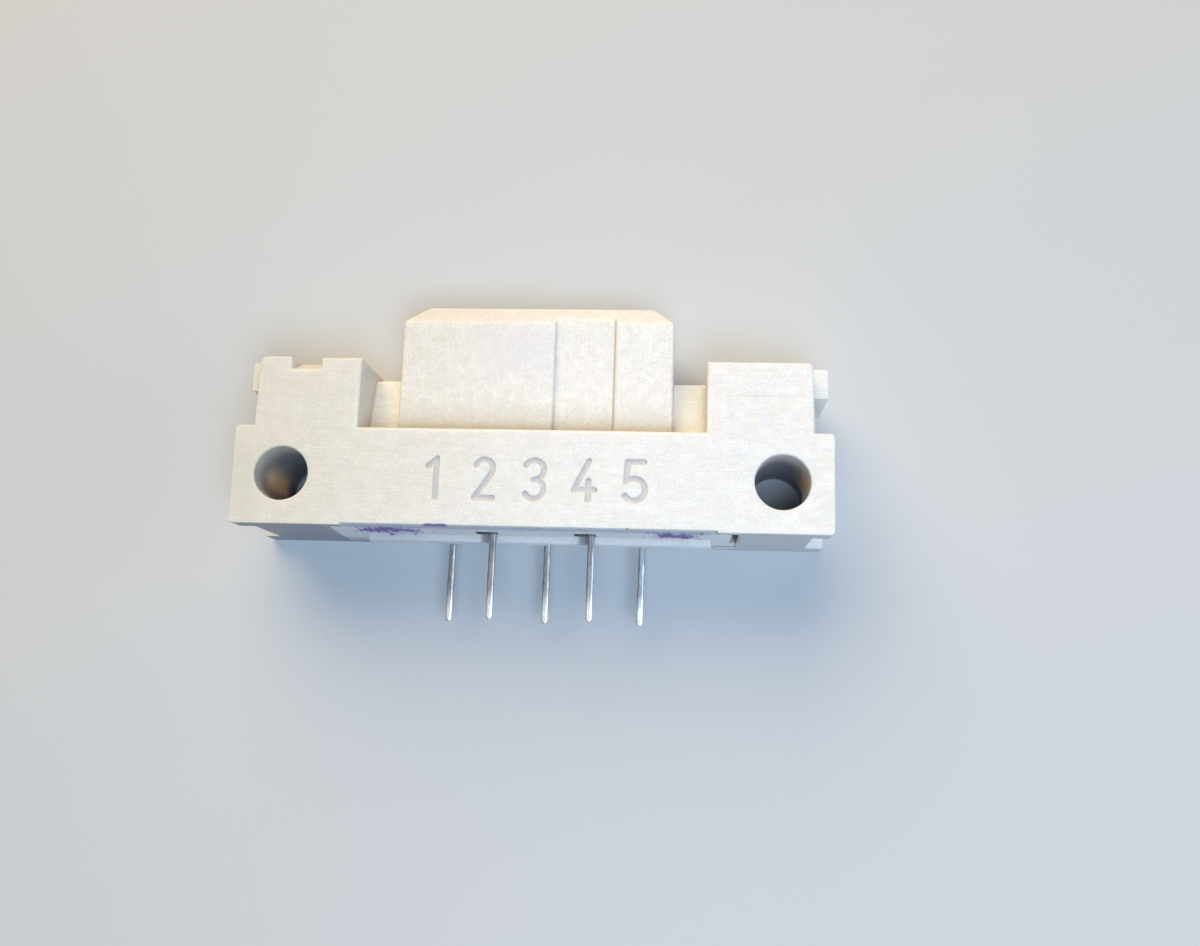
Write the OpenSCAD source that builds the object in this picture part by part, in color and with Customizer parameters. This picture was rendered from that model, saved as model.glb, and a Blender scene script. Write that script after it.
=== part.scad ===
// Printed circuit board socket: a moulded housing with a keyed tongue, a ribbed contact base
// pressed into its underside and five formed spring contacts with staggered solder tails.
// It lies on its back: X runs along the flange, Y towards the mating side, Z out of the
// front face. The origin is midway between the mounting holes, on the back face.

/* [Flange] */
// Distance between the two mounting holes
hole_spacing = 25; // [23:0.5:30]
// Diameter of the mounting holes
hole_d = 2.75; // [2.2:0.05:3.2]
// Edge break round the mouth of each mounting hole
hole_rim = 0.06; // [0.02:0.01:0.12]
// Wall left between a mounting hole and the end slot
end_wall = 0.175; // [0.1:0.025:0.6]
// Reach of the ears beyond the body
ear_out = 0.95; // [0.5:0.05:1.5]
// Corner radius of the ears
ear_r = 0.2; // [0.05:0.05:0.4]
// Height of the flange, from the board side to the mating side
flange_h = 5; // [4.2:0.1:6.5]
// Height of the hole centres above the board side of the flange
hole_up = 2.55; // [2:0.05:3]
// Thickness of the housing, back to front
body_t = 6.7; // [6:0.1:8]
// Thickness of the front and rear ear plates
plate_t = 1.35; // [1:0.05:1.6]
// Width of the shallow relief in the board side
relief_w = 18.7; // [17.5:0.1:19.5]
// Depth of that relief
relief_depth = 0.1; // [0.04:0.02:0.2]

/* [Towers] */
// Width of each tower
tower_w = 5.3; // [4.5:0.1:6]
// Height of the towers above the flange
tower_rise = 3.6; // [3:0.1:5]
// Corner radius on the outer side of each tower
tower_r = 0.3; // [0.1:0.05:0.6]
// Moulding draft of the outer side of each tower, from the flange to its top
tower_draft = 0.08; // [0.02:0.02:0.2]
// Height of the side keys
key_h = 1.5; // [1:0.1:2.5]
// Reach of the side keys beyond the towers
key_out = 0.8; // [0.4:0.05:1.2]
// Chamfer on the free corners of the side keys
key_c = 0.1; // [0.05:0.05:0.35]
// Width of the ramp notch in the left tower
ramp_w = 1.5; // [1:0.1:2]
// Distance from the inner side of the tower to the ramp notch
ramp_in = 2.1; // [1:0.1:2.8]
// Depth of the ramp notch at the front face
ramp_drop = 0.65; // [0.3:0.05:1]
// Length of the ramp, from the front face to the top of the tower
ramp_run = 1.55; // [0.8:0.05:2.5]

/* [Tongue] */
// Width of the tongue
tongue_w = 14.1; // [13.6:0.1:16]
// Height of the tongue above the flange
tongue_rise = 7.1; // [6.5:0.1:9]
// Chamfer round the top of the tongue
tongue_c = 1.1; // [0.6:0.05:1.2]
// Width of the polarising groove in the tongue's front face
groove_w = 3.1; // [2:0.1:4]
// Place of the middle of the groove along the tongue
groove_x = 2.5; // [0:0.1:4.5]
// Depth of the groove
groove_depth = 0.3; // [0.15:0.05:0.4]
// Height of the webs beside the tongue, above the flange
web_rise = 3.2; // [2:0.1:3.5]
// Thickness of the webs at the flange
web_foot_t = 2.5; // [1.5:0.1:3.5]
// Thickness of the webs along their upper edge
web_top_t = 0.4; // [0.3:0.05:1]

/* [Contacts] */
// Pitch of the contacts along the tongue
pitch = 2.5; // [2.3:0.05:2.6]
// Distance between the two rows of tails
row_gap = 2.5; // [2.2:0.1:2.7]
// Place of the middle contact along the tongue
contact_shift = 0.3; // [-0.4:0.1:0.4]
// Thickness of the contact sheet
sheet_t = 0.3; // [0.2:0.02:0.4]
// Width of the contact in the base
shank_w = 0.9; // [0.7:0.05:1]
// Width of the spring leaf at its tip
leaf_tip_w = 0.65; // [0.4:0.05:0.7]
// Distance of the leaf from the middle plane where it enters the tongue
leaf_off = 0.75; // [0.6:0.05:0.85]
// Distance of the sprung crown from the middle plane
crown_off = 0.3; // [0.2:0.05:0.45]
// Distance of the flared tip from the middle plane
flare_off = 0.6; // [0.4:0.05:0.8]
// Length of the flared end of the leaf
flare_len = 1.1; // [0.6:0.1:1.6]
// Width of the solder tails
tail_w = 0.35; // [0.25:0.05:0.5]
// Length of the solder tails below the flange
tail_len = 4.35; // [3:0.05:6]
// Width of the blunt point of each tail
tail_tip_w = 0.24; // [0.1:0.02:0.24]
// Length of the taper at the point
tail_tip_len = 0.2; // [0.1:0.05:0.8]

/* [Chambers] */
// Width of each contact chamber
chamber_w = 1.2; // [1.1:0.05:1.5]
// Clearance between a contact and the walls of its chamber
chamber_clear = 0.1; // [0.05:0.01:0.2]
// Thickness of the wall over the chambers, at the top of the tongue
lip_t = 1; // [0.6:0.05:1.5]
// Size of the contact mouths along the tongue
mouth_w = 1; // [0.7:0.05:1.1]
// Size of the contact mouths across the tongue
mouth_t = 0.8; // [0.6:0.05:1]
// Lead-in chamfer of the contact mouths
funnel = 0.25; // [0.1:0.05:0.35]

/* [Contact base] */
// Wall left between the pocket and each mounting hole
pocket_wall = 0.725; // [0.5:0.025:1.5]
// Wall left in front of the pocket and behind it
pocket_skin = 0.7; // [0.5:0.05:1.1]
// Height of the pocket above the board side of the flange
pocket_h = 3.4; // [2.5:0.1:4]
// Width of the contact base between its lugs
base_w = 17.6; // [15:0.1:18.5]
// Clearance round the contact base in its pocket
base_clear = 0.05; // [0.02:0.01:0.1]
// Thickness of the rib between the two rows of tails
rib_t = 1; // [0.6:0.05:1.4]
// Drop of the rib below the flange
rib_drop = 0.35; // [0.2:0.05:0.6]
// Height of the lugs at the ends of the base
lug_h = 2.4; // [1.5:0.1:3]
// Step between the back of the base and the back of each lug
lug_step = 1; // [0.5:0.1:1.5]
// Taper of the end of each lug towards the front
lug_taper = 0.3; // [0.1:0.05:0.5]
// Clearance behind and beside the shank in its slot
slot_clear = 0.025; // [0.01:0.005:0.05]
// Clearance on the outer side of the shank
slot_gap = 0.2; // [0.1:0.05:0.3]

/* [Hidden] */
$fn = 64;
// Overlap that joins solids and lets cuts break through
lap = 0.2;
arc_steps = 6;
middle_contact = 3;

// Levels along Y
board_y = -hole_up;
flange_y = board_y + flange_h;
tower_y = flange_y + tower_rise;
tongue_y = flange_y + tongue_rise;
pocket_y = board_y + pocket_h;
lip_y = tongue_y - lip_t;
tail_y = board_y - tail_len;

// Half widths along X
core_half = hole_spacing / 2 + hole_d / 2 + end_wall;
ear_half = core_half + ear_out;
tower_in = core_half - tower_w;
pocket_half = hole_spacing / 2 - hole_d / 2 - pocket_wall;
relief_half = relief_w / 2;
tongue_half = tongue_w / 2;

// Levels along Z, and distances from the middle plane
mid_z = body_t / 2;
front_z = body_t - plate_t;
core_half_t = mid_z - plate_t;
pocket_half_t = mid_z - pocket_skin;
base_half_t = pocket_half_t - base_clear;
row_off = row_gap / 2;
chamber_foot = row_off + sheet_t / 2 + chamber_clear;
chamber_top = leaf_off + sheet_t / 2 + chamber_clear;

// Place of a contact along X: the middle one stands at contact_shift
function contact_x(number) = contact_shift + (number - middle_contact) * pitch;

// Even contacts have their tails in the front row, odd ones in the rear row
function row_side(number) = number % 2 == 0 ? 1 : -1;

// Arc of radius r that rounds the corner b of the path a, b, c
function corner_arc(a, b, c, r) =
    let (
        u = (a - b) / norm(a - b),
        v = (c - b) / norm(c - b),
        half = acos(u * v) / 2,
        bisector = (u + v) / norm(u + v),
        centre = b + bisector * r / sin(half),
        start = b + u * r / tan(half) - centre,
        finish = b + v * r / tan(half) - centre
    )
    [for (i = [0 : arc_steps])
        let (mixed = start * (1 - i / arc_steps) + finish * i / arc_steps)
        centre + mixed * r / norm(mixed)];

// Outline through the corners [x, y, r], each rounded by its own radius
function rounded(corners) =
    let (
        count = len(corners),
        points = [for (c = corners) [c.x, c.y]]
    )
    [for (i = [0 : count - 1])
        each corners[i].z > 0
            ? corner_arc(points[(i + count - 1) % count], points[i], points[(i + 1) % count], corners[i].z)
            : [points[i]]];

// Left-hand normal of the path from a to b
function side_of(a, b) = [a.y - b.y, b.x - a.x] / norm(b - a);

// Mitred shift of point i of an open path by half a strip's thickness
function strip_shift(path, i, half_t) =
    let (
        before = side_of(path[max(i - 1, 0)], path[max(i, 1)]),
        after = side_of(path[min(i, len(path) - 2)], path[min(i + 1, len(path) - 1)]),
        mitre = before + after
    )
    mitre * 2 * half_t / (mitre * mitre);

// Outline of a strip of even thickness that follows an open path
function strip(path, thickness) = concat(
    [for (i = [0 : len(path) - 1]) path[i] + strip_shift(path, i, thickness / 2)],
    [for (i = [len(path) - 1 : -1 : 0]) path[i] - strip_shift(path, i, thickness / 2)]);

// Extrudes an outline drawn as [across, height] along X, centred, with the middle plane as zero
module along_x(length) {
    translate([-length / 2, 0, mid_z])
        rotate([90, 0, 90])
            mirror([1, 0])
                rotate(90)
                    linear_extrude(length)
                        children();
}

// Body of the flange and both towers, seen from the front
module body_outline() {
    polygon(rounded([
        [-core_half, board_y, 0],
        [core_half, board_y, 0],
        [core_half, flange_y, 0],
        [core_half - tower_draft, tower_y, tower_r],
        [tower_in, tower_y, 0],
        [tower_in, flange_y, 0],
        [-tower_in, flange_y, 0],
        [-tower_in, tower_y, 0],
        [tower_draft - core_half, tower_y, tower_r],
        [-core_half, flange_y, 0]
    ]));
}

// Ear plate that runs the whole length of the flange
module ear_plate() {
    linear_extrude(plate_t)
        polygon(rounded([
            [-ear_half, board_y, ear_r],
            [ear_half, board_y, ear_r],
            [ear_half, flange_y, ear_r],
            [-ear_half, flange_y, ear_r]
        ]));
}

// Side key of the right tower, level with the tower's top
module side_key() {
    reach = core_half + key_out;
    inside = core_half - tower_r - lap;
    intersection() {
        translate([0, 0, plate_t])
            linear_extrude(2 * core_half_t)
                polygon([
                    [inside, tower_y - key_h],
                    [reach, tower_y - key_h],
                    [reach, tower_y - key_c],
                    [reach - key_c, tower_y],
                    [inside, tower_y]
                ]);
        translate([0, tower_y + lap, mid_z])
            rotate([90, 0, 0])
                linear_extrude(key_h + 2 * lap)
                    polygon([
                        [inside, -core_half_t],
                        [reach - key_c, -core_half_t],
                        [reach, key_c - core_half_t],
                        [reach, core_half_t],
                        [inside, core_half_t]
                    ]);
    }
}

// Tongue with a chamfer on all four sides of its top
module tongue() {
    foot = (pocket_y + flange_y) / 2;
    intersection() {
        linear_extrude(body_t)
            polygon([
                [-tongue_half, foot],
                [tongue_half, foot],
                [tongue_half, tongue_y - tongue_c],
                [tongue_half - tongue_c, tongue_y],
                [tongue_c - tongue_half, tongue_y],
                [-tongue_half, tongue_y - tongue_c]
            ]);
        along_x(tongue_w)
            polygon([
                [-core_half_t, foot],
                [core_half_t, foot],
                [core_half_t, tongue_y - tongue_c],
                [core_half_t - tongue_c, tongue_y],
                [tongue_c - core_half_t, tongue_y],
                [-core_half_t, tongue_y - tongue_c]
            ]);
    }
}

// Sloped web that closes the gaps between the tongue and the towers
module webs() {
    foot_half = web_foot_t / 2;
    top_half = web_top_t / 2;
    along_x(2 * (tower_in + lap))
        polygon([
            [-foot_half, flange_y],
            [-foot_half, flange_y - lap],
            [foot_half, flange_y - lap],
            [foot_half, flange_y],
            [top_half, flange_y + web_rise],
            [-top_half, flange_y + web_rise]
        ]);
}

// Mounting hole with an edge break at both mouths
module mounting_hole() {
    translate([0, 0, -lap])
        cylinder(d = hole_d, h = body_t + 2 * lap);
    for (end = [0, 1])
        translate([0, 0, end * body_t])
            mirror([0, 0, end])
                translate([0, 0, -hole_rim])
                    cylinder(d1 = hole_d + 4 * hole_rim, d2 = hole_d, h = 2 * hole_rim);
}

// Ramp notch in the top of the left tower, from the front face up to the tower's top
module ramp_notch() {
    ramp_x = -tower_in - ramp_in - ramp_w / 2;
    slope = ramp_drop / ramp_run;
    translate([ramp_x, 0, 0])
        along_x(ramp_w)
            polygon([
                [mid_z - ramp_run - lap, tower_y + slope * lap],
                [mid_z + lap, tower_y - ramp_drop - slope * lap],
                [mid_z + lap, tower_y + slope * lap]
            ]);
}

// Polarising groove in the front face of the tongue
module groove() {
    translate([groove_x - groove_w / 2, flange_y, front_z - groove_depth])
        cube([groove_w, tongue_rise + lap, plate_t + groove_depth + lap]);
}

// Chamber of one contact: a foot over the base, the leaf's space and the funnelled mouth
module chamber(side) {
    heel = mouth_t / 2;
    wall = chamber_w / 2;
    mouth = mouth_w / 2;
    intersection() {
        along_x(chamber_w + 2 * lap)
            scale_across(side)
                polygon([
                    [-heel, pocket_y - lap],
                    [chamber_foot, pocket_y - lap],
                    [chamber_foot, flange_y - (chamber_foot - chamber_top)],
                    [chamber_top, flange_y],
                    [chamber_top, lip_y],
                    [heel, lip_y],
                    [heel, tongue_y - funnel],
                    [heel + funnel + lap, tongue_y + lap],
                    [-heel - funnel - lap, tongue_y + lap],
                    [-heel, tongue_y - funnel]
                ]);
        linear_extrude(body_t)
            polygon([
                [-wall, pocket_y - lap],
                [wall, pocket_y - lap],
                [wall, lip_y],
                [mouth, lip_y],
                [mouth, tongue_y - funnel],
                [mouth + funnel + lap, tongue_y + lap],
                [-mouth - funnel - lap, tongue_y + lap],
                [-mouth, tongue_y - funnel],
                [-mouth, lip_y],
                [-wall, lip_y]
            ]);
    }
}

// Turns a profile over to the rear side of the middle plane where side is -1
module scale_across(side) {
    mirror([side < 0 ? 1 : 0, 0])
        children();
}

// Pocket in the underside that takes the contact base
module pocket() {
    translate([-pocket_half, board_y - lap, pocket_skin])
        cube([2 * pocket_half, pocket_h + lap, 2 * pocket_half_t]);
}

// Shallow relief across the board side
module relief() {
    translate([-relief_half, board_y - lap, -lap])
        cube([2 * relief_half, relief_depth + lap, body_t + 2 * lap]);
}

module housing() {
    color([0.92, 0.90, 0.84])
        difference() {
            union() {
                linear_extrude(body_t) body_outline();
                ear_plate();
                translate([0, 0, front_z]) ear_plate();
                side_key();
                mirror([1, 0, 0]) side_key();
                tongue();
                webs();
            }
            for (side = [-1, 1])
                translate([side * hole_spacing / 2, 0, 0]) mounting_hole();
            ramp_notch();
            groove();
            pocket();
            relief();
            for (number = [1 : 5])
                translate([contact_x(number), 0, 0]) chamber(row_side(number));
        }
}

// Lug at the right end of the base, tapered so that it wedges against the end of the pocket
module lug() {
    reach = pocket_half - base_clear;
    root = contact_shift;
    back = lug_step - base_half_t;
    translate([0, board_y + lug_h, mid_z])
        rotate([90, 0, 0])
            linear_extrude(lug_h)
                polygon([
                    [root, back],
                    [reach, back],
                    [reach, -base_half_t / 3],
                    [reach - lug_taper, base_half_t],
                    [root, base_half_t]
                ]);
}

// Slot through the base for the shank of one contact
module shank_slot(side) {
    inner = row_off - sheet_t / 2 - slot_clear;
    outer = row_off + sheet_t / 2 + slot_gap;
    along_x(shank_w + 2 * slot_clear)
        scale_across(side)
            polygon([
                [inner, board_y - lap],
                [outer, board_y - lap],
                [outer, pocket_y + lap],
                [inner, pocket_y + lap]
            ]);
}

module contact_base() {
    base_left = contact_shift - base_w / 2;
    color([0.86, 0.86, 0.83])
        difference() {
            union() {
                translate([base_left, board_y, mid_z - base_half_t])
                    cube([base_w, pocket_h - base_clear, 2 * base_half_t]);
                translate([base_left, board_y - rib_drop, mid_z - rib_t / 2])
                    cube([base_w, rib_drop + lap, rib_t]);
                lug();
                mirror([1, 0, 0]) lug();
            }
            for (number = [1 : 5])
                translate([contact_x(number), 0, 0]) shank_slot(row_side(number));
        }
}

// Blank of a contact seen from the front: tail, shank and tapered leaf
module contact_blank() {
    half = shank_w / 2;
    tip_half = leaf_tip_w / 2;
    tail_left = half - tail_w;
    tail_x = half - tail_w / 2;
    foot = board_y + sheet_t;
    polygon([
        [tail_x - tail_tip_w / 2, tail_y],
        [tail_x + tail_tip_w / 2, tail_y],
        [half, tail_y + tail_tip_len],
        [half, flange_y],
        [tip_half, lip_y],
        [-tip_half, lip_y],
        [-half, flange_y],
        [-half, foot],
        [tail_left, foot],
        [tail_left, tail_y + tail_tip_len]
    ]);
}

// Formed contact: the blank follows the bends of the leaf across the tongue
module contact(number) {
    bend_low = pocket_y + chamber_clear;
    bend_high = flange_y - chamber_clear;
    tip_y = lip_y - 2 * chamber_clear;
    path = [
        [row_off, tail_y - lap],
        [row_off, bend_low],
        [leaf_off, bend_high],
        [crown_off, tip_y - flare_len],
        [flare_off, tip_y]
    ];
    color([0.74, 0.74, 0.76])
        translate([contact_x(number), 0, 0])
            intersection() {
                linear_extrude(body_t) contact_blank();
                along_x(2 * shank_w)
                    scale_across(row_side(number)) polygon(strip(path, sheet_t));
            }
}

housing();
contact_base();
contact(1);  // contact_1
contact(2);  // contact_2
contact(3);  // contact_3
contact(4);  // contact_4
contact(5);  // contact_5
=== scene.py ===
"""Dressed scene of a two-row printed circuit board socket that lies on its back."""

import logging
import math
from abc import ABC, abstractmethod
from dataclasses import dataclass, field
from enum import Enum
from typing import ClassVar

import bmesh
import bpy
from bmesh.types import BMEdge, BMesh
from bpy.types import Material, Node, NodeSocket, NodeTree, Object
from mathutils import Matrix, Vector


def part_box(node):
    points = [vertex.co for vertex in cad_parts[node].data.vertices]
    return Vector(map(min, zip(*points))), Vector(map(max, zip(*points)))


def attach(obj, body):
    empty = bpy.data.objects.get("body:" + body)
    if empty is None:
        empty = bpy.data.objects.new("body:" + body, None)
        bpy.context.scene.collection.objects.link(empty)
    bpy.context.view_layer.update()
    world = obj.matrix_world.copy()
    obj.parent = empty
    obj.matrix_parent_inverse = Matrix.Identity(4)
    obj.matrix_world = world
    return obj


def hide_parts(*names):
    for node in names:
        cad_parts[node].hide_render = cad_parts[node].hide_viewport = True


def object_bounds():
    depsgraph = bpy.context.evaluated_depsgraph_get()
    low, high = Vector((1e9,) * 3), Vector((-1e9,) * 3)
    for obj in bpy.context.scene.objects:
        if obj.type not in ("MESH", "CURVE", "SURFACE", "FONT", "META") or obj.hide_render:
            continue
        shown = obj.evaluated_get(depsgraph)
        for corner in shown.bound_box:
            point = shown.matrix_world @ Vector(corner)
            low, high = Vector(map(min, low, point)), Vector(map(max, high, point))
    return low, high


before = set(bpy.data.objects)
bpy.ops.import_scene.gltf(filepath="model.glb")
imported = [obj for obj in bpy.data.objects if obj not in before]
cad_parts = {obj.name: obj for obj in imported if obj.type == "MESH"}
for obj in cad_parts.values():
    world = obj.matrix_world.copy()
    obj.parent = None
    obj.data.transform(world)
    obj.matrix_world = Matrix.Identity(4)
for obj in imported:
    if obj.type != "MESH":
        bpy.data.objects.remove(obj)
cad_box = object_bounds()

log = logging.getLogger("board_socket")

Colour = tuple[float, float, float, float]
Pair = tuple[float, float]
Triple = tuple[float, float, float]
Input = NodeSocket | float | tuple[float, ...]

MM = 0.001
DISPLAY_WHITE = 255
DISPLAY_TOE = 10
TOE_SLOPE = 12.92
CURVE_SHIFT = 0.055
CURVE_POWER = 2.4
NOISE_MIDDLE = 0.5
BODY = "root"
EDGE_WEIGHT = "bevel_weight_edge"


class Slot(Enum):
    """Material slots of the part's record."""

    HOUSING = "housing_plastic"
    BASE = "base_plastic"
    CONTACT = "contact_metal"


class Digit(Enum):
    """Contact numbers that are cut into the front face."""

    ONE = 1
    TWO = 2
    THREE = 3
    FOUR = 4
    FIVE = 5


def paint(red: int, green: int, blue: int) -> Colour:
    """Turns a display colour into the linear colour that shaders use.

    Args:
        red: Red, 0 to 255.
        green: Green, 0 to 255.
        blue: Blue, 0 to 255.

    Returns:
        The linear colour with full opacity.
    """
    linear: list[float] = []
    for level in (red, green, blue):
        share = level / DISPLAY_WHITE
        curve = ((share + CURVE_SHIFT) / (1 + CURVE_SHIFT)) ** CURVE_POWER
        linear.append(share / TOE_SLOPE if level <= DISPLAY_TOE else curve)
    return (*linear, 1.0)


def millimetres(x: float, y: float, z: float) -> Vector:
    """Gives a point in metres from its place in millimetres."""
    return Vector((x, y, z)) * MM


def pick(*pieces: Object) -> None:
    """Selects only these objects, the last one active.

    Args:
        pieces: The objects to select.
    """
    if bpy.context.object and bpy.context.object.mode != "OBJECT":
        bpy.ops.object.mode_set(mode="OBJECT")
    bpy.ops.object.select_all(action="DESELECT")
    for piece in pieces:
        piece.select_set(True)
        bpy.context.view_layer.objects.active = piece


@dataclass
class NodeSheet:
    """Adds and joins the nodes of one shader tree."""

    tree: NodeTree

    def add(self, kind: str, settings: dict | None = None, inputs: dict | None = None) -> Node:
        """Adds one node.

        Args:
            kind: The node's type name.
            settings: Properties of the node.
            inputs: Values or sockets for its inputs, by name or number.

        Returns:
            The new node.
        """
        node = self.tree.nodes.new(kind)
        for key, value in (settings or {}).items():
            setattr(node, key, value)
        for key, value in (inputs or {}).items():
            self.feed(node.inputs[key], value)
        return node

    def feed(self, socket: NodeSocket, value: Input) -> None:
        """Links a socket to an input, or sets its value.

        Args:
            socket: The socket.
            value: What it is linked to, or its value.
        """
        if isinstance(value, NodeSocket):
            self.tree.links.new(value, socket)
        else:
            socket.default_value = value

    def math(self, operation: str, a: Input, b: Input = 0.0) -> NodeSocket:
        """Adds a Math node and gives its output."""
        return self.add("ShaderNodeMath", {"operation": operation}, {0: a, 1: b}).outputs[0]

    def vector(self, operation: str, a: Input, b: Input) -> Node:
        """Adds a Vector Math node."""
        return self.add("ShaderNodeVectorMath", {"operation": operation}, {0: a, 1: b})

    def ramp(self, value: Input, low: Input, high: Input, to_low: Input = 0.0,
             to_high: Input = 1.0) -> NodeSocket:
        """Maps one range of a value smoothly to another.

        Args:
            value: The value to map.
            low: Where the range starts.
            high: Where the range ends.
            to_low: The result at the start.
            to_high: The result at the end.

        Returns:
            The mapped value.
        """
        node = self.add(
            "ShaderNodeMapRange", {"interpolation_type": "SMOOTHSTEP"},
            {0: value, 1: low, 2: high, 3: to_low, 4: to_high},
        )
        return node.outputs[0]

    def blend(self, factor: Input, a: Input, b: Input, how: str = "MIX") -> NodeSocket:
        """Mixes two colours.

        Args:
            factor: How much of the second colour there is.
            a: First colour.
            b: Second colour.
            how: The blend type.

        Returns:
            The mixed colour.
        """
        node = self.add(
            "ShaderNodeMix", {"data_type": "RGBA", "blend_type": how},
            {0: factor, 6: a, 7: b},
        )
        return node.outputs[2]

    def mix_value(self, factor: Input, a: Input, b: Input) -> NodeSocket:
        """Mixes two values, with the factor as the share of the second."""
        return self.add("ShaderNodeMix", {"data_type": "FLOAT"}, {0: factor, 2: a, 3: b}).outputs[0]

    def noise(self, coords: Input, scale: Input, detail: float = 2.0, roughness: float = 0.5) -> NodeSocket:
        """Adds a noise texture.

        Args:
            coords: The point where it is read.
            scale: How fine it is.
            detail: How many finer layers it has.
            roughness: How strong the finer layers are.

        Returns:
            Its value.
        """
        node = self.add(
            "ShaderNodeTexNoise", None,
            {"Vector": coords, "Scale": scale, "Detail": detail, "Roughness": roughness},
        )
        return node.outputs["Fac"]

    def place(self) -> NodeSocket:
        """Gives the point of the surface in the part's own frame."""
        return self.add("ShaderNodeTexCoord").outputs["Object"]

    def split(self, vector: Input) -> tuple[NodeSocket, ...]:
        """Gives the X, Y and Z of a vector."""
        return tuple(self.add("ShaderNodeSeparateXYZ", None, {0: vector}).outputs)


class EffectGroup(ABC):
    """A shader node group that is built once and placed in each material that uses it."""

    title: ClassVar[str]
    takes: ClassVar[dict[str, str]]
    gives: ClassVar[dict[str, str]]

    def tree(self) -> NodeTree:
        """Finds the group's tree, or builds it.

        Returns:
            The tree.
        """
        found = bpy.data.node_groups.get(self.title)
        if found:
            return found
        tree = bpy.data.node_groups.new(self.title, "ShaderNodeTree")
        for name, kind in self.takes.items():
            tree.interface.new_socket(name=name, in_out="INPUT", socket_type=kind)
        for name, kind in self.gives.items():
            tree.interface.new_socket(name=name, in_out="OUTPUT", socket_type=kind)
        sheet = NodeSheet(tree)
        source = sheet.add("NodeGroupInput")
        results = self.wire(sheet, source)
        sheet.add("NodeGroupOutput", None, results)
        return tree

    @abstractmethod
    def wire(self, sheet: NodeSheet, source: Node) -> dict[str, NodeSocket]:
        """Builds the inside of the group.

        Args:
            sheet: The group's sheet.
            source: Its input node.

        Returns:
            The socket for each output, by name.
        """

    def put(self, sheet: NodeSheet, **values: Input) -> Node:
        """Places the group in a material.

        Args:
            sheet: The material's sheet.
            values: Values for its inputs, with _ for a space in a name.

        Returns:
            The group node.
        """
        node = sheet.add("ShaderNodeGroup", {"node_tree": self.tree()})
        for key, value in values.items():
            sheet.feed(node.inputs[key.replace("_", " ")], value)
        return node


class MouldedGrain(EffectGroup):
    """Clouds, filler specks and fine skin of a moulded surface."""

    title = "moulded_grain"
    takes = {"Cloud Scale": "NodeSocketFloat", "Grain Scale": "NodeSocketFloat"}
    gives = {"Cloud": "NodeSocketFloat", "Speck": "NodeSocketFloat", "Grain": "NodeSocketFloat"}
    cloud_detail: ClassVar[Pair] = (4.0, 0.6)
    grain_detail: ClassVar[Pair] = (3.0, 0.65)
    speck_reach: ClassVar[float] = 0.24

    def wire(self, sheet: NodeSheet, source: Node) -> dict[str, NodeSocket]:
        """Builds the clouds, specks and skin.

        Args:
            sheet: The group's sheet.
            source: Its input node.

        Returns:
            The socket for each output, by name.
        """
        coords = sheet.place()
        cloud = sheet.noise(coords, source.outputs["Cloud Scale"], *self.cloud_detail)
        grain = sheet.noise(coords, source.outputs["Grain Scale"], *self.grain_detail)
        cells = sheet.add(
            "ShaderNodeTexVoronoi", None,
            {"Vector": coords, "Scale": source.outputs["Grain Scale"]},
        )
        speck = sheet.ramp(cells.outputs["Distance"], 0.0, self.speck_reach, 1.0, 0.0)
        return {"Cloud": cloud, "Speck": speck, "Grain": grain}


class BrushedSkin(EffectGroup):
    """Fine parallel streaks that a ground mould leaves, and stray scratches across them."""

    title = "brushed_skin"
    takes = {
        "Stretch": "NodeSocketVector", "Streak Scale": "NodeSocketFloat",
        "Scratch Turn": "NodeSocketVector", "Scratch Scale": "NodeSocketFloat",
    }
    gives = {"Streak": "NodeSocketFloat", "Scratch": "NodeSocketFloat"}
    streak_detail: ClassVar[Pair] = (3.0, 0.6)
    scratch_detail: ClassVar[Pair] = (1.0, 0.4)
    scratch_stretch: ClassVar[Triple] = (1.0, 0.07, 1.0)
    scratch_band: ClassVar[Pair] = (0.72, 0.8)

    def wire(self, sheet: NodeSheet, source: Node) -> dict[str, NodeSocket]:
        """Stretches noise along the grinding direction and thins it to scratches.

        Args:
            sheet: The group's sheet.
            source: Its input node.

        Returns:
            The socket for each output, by name.
        """
        coords = sheet.place()
        along = sheet.vector("MULTIPLY", coords, source.outputs["Stretch"]).outputs[0]
        streak = sheet.noise(along, source.outputs["Streak Scale"], *self.streak_detail)
        turned = sheet.add(
            "ShaderNodeMapping", None,
            {"Vector": coords, "Rotation": source.outputs["Scratch Turn"]},
        ).outputs[0]
        thin = sheet.vector("MULTIPLY", turned, self.scratch_stretch).outputs[0]
        line = sheet.noise(thin, source.outputs["Scratch Scale"], *self.scratch_detail)
        scratch = sheet.ramp(line, *self.scratch_band)
        return {"Streak": streak, "Scratch": scratch}


class CornerShade(EffectGroup):
    """Mask of inner corners and recesses, for painted shade."""

    title = "corner_shade"
    takes = {"Reach": "NodeSocketFloat"}
    gives = {"Mask": "NodeSocketFloat"}
    samples: ClassVar[int] = 6
    open_band: ClassVar[Pair] = (0.95, 0.35)

    def wire(self, sheet: NodeSheet, source: Node) -> dict[str, NodeSocket]:
        """Measures how closed in a point is.

        Args:
            sheet: The group's sheet.
            source: Its input node.

        Returns:
            The socket for each output, by name.
        """
        open_air = sheet.add(
            "ShaderNodeAmbientOcclusion", {"samples": self.samples, "only_local": True},
            {"Distance": source.outputs["Reach"]},
        )
        return {"Mask": sheet.ramp(open_air.outputs["AO"], *self.open_band)}


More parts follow.
